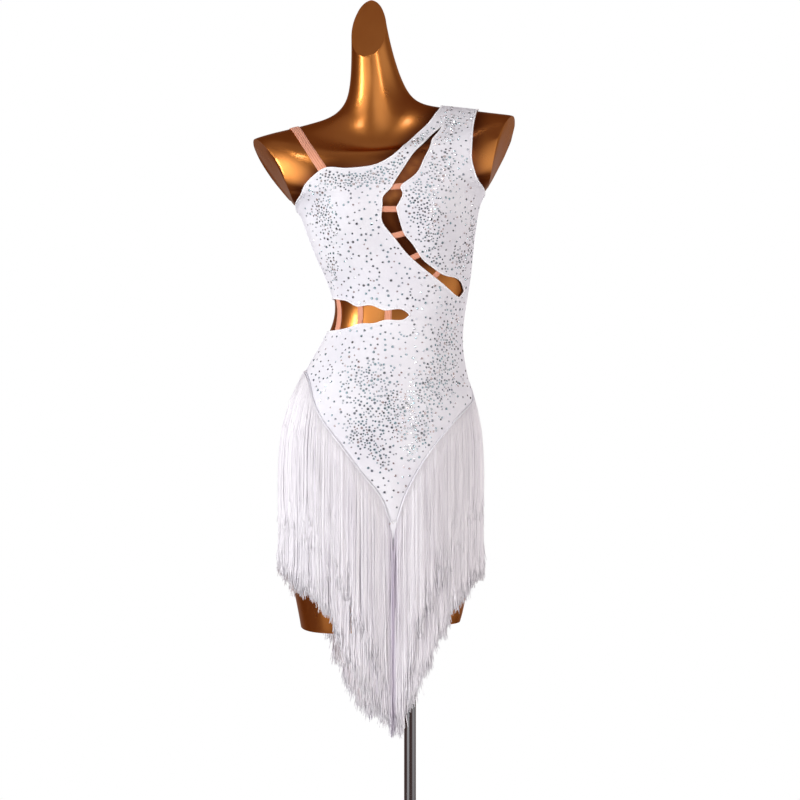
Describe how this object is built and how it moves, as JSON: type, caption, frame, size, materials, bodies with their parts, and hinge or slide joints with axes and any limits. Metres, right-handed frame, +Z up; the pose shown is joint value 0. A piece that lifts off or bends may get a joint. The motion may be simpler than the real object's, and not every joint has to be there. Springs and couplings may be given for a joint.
{
  "type": "latin dance dress on a dress form",
  "caption": "One-shoulder stretch dance dress with a keyhole and a waist cut-out, peach elastics and tiered fringe, on a limbless display form with a pole stand.",
  "frame": {"origin": "centre of the stand's base plate on the floor, under the pole", "axes": "+X to the wearer's left, +Y to the wearer's back, so the front faces -Y, and +Z up"},
  "size_m": [0.424, 0.3, 1.5748],
  "materials": {
    "gold_form": "gold plated gloss over glass fibre",
    "chrome": "polished",
    "white_stretch": "soft satin stretch knit",
    "peach_elastic": "ribbed elastic tape",
    "white_fringe": "fine twisted rayon fringe"
  },
  "bodies": {
    "root": {"form_torso": "gold_form", "stand_base": "chrome", "stand_pole": "chrome", "stand_socket": "chrome", "front_panel": "white_stretch", "back_panel": "white_stretch", "hip_band_left": "white_stretch", "hip_band_right": "white_stretch", "crotch_gusset": "white_stretch", "shoulder_elastic": "peach_elastic", "keyhole_elastic_1": "peach_elastic", "keyhole_elastic_2": "peach_elastic", "keyhole_elastic_3": "peach_elastic", "keyhole_elastic_4": "peach_elastic", "keyhole_elastic_5": "peach_elastic", "waist_elastic_1": "peach_elastic", "waist_elastic_2": "peach_elastic", "waist_elastic_3": "peach_elastic", "fringe_upper_left": "white_fringe", "fringe_upper_right": "white_fringe", "fringe_lower_left": "white_fringe", "fringe_lower_right": "white_fringe"}
  },
  "joints": []
}
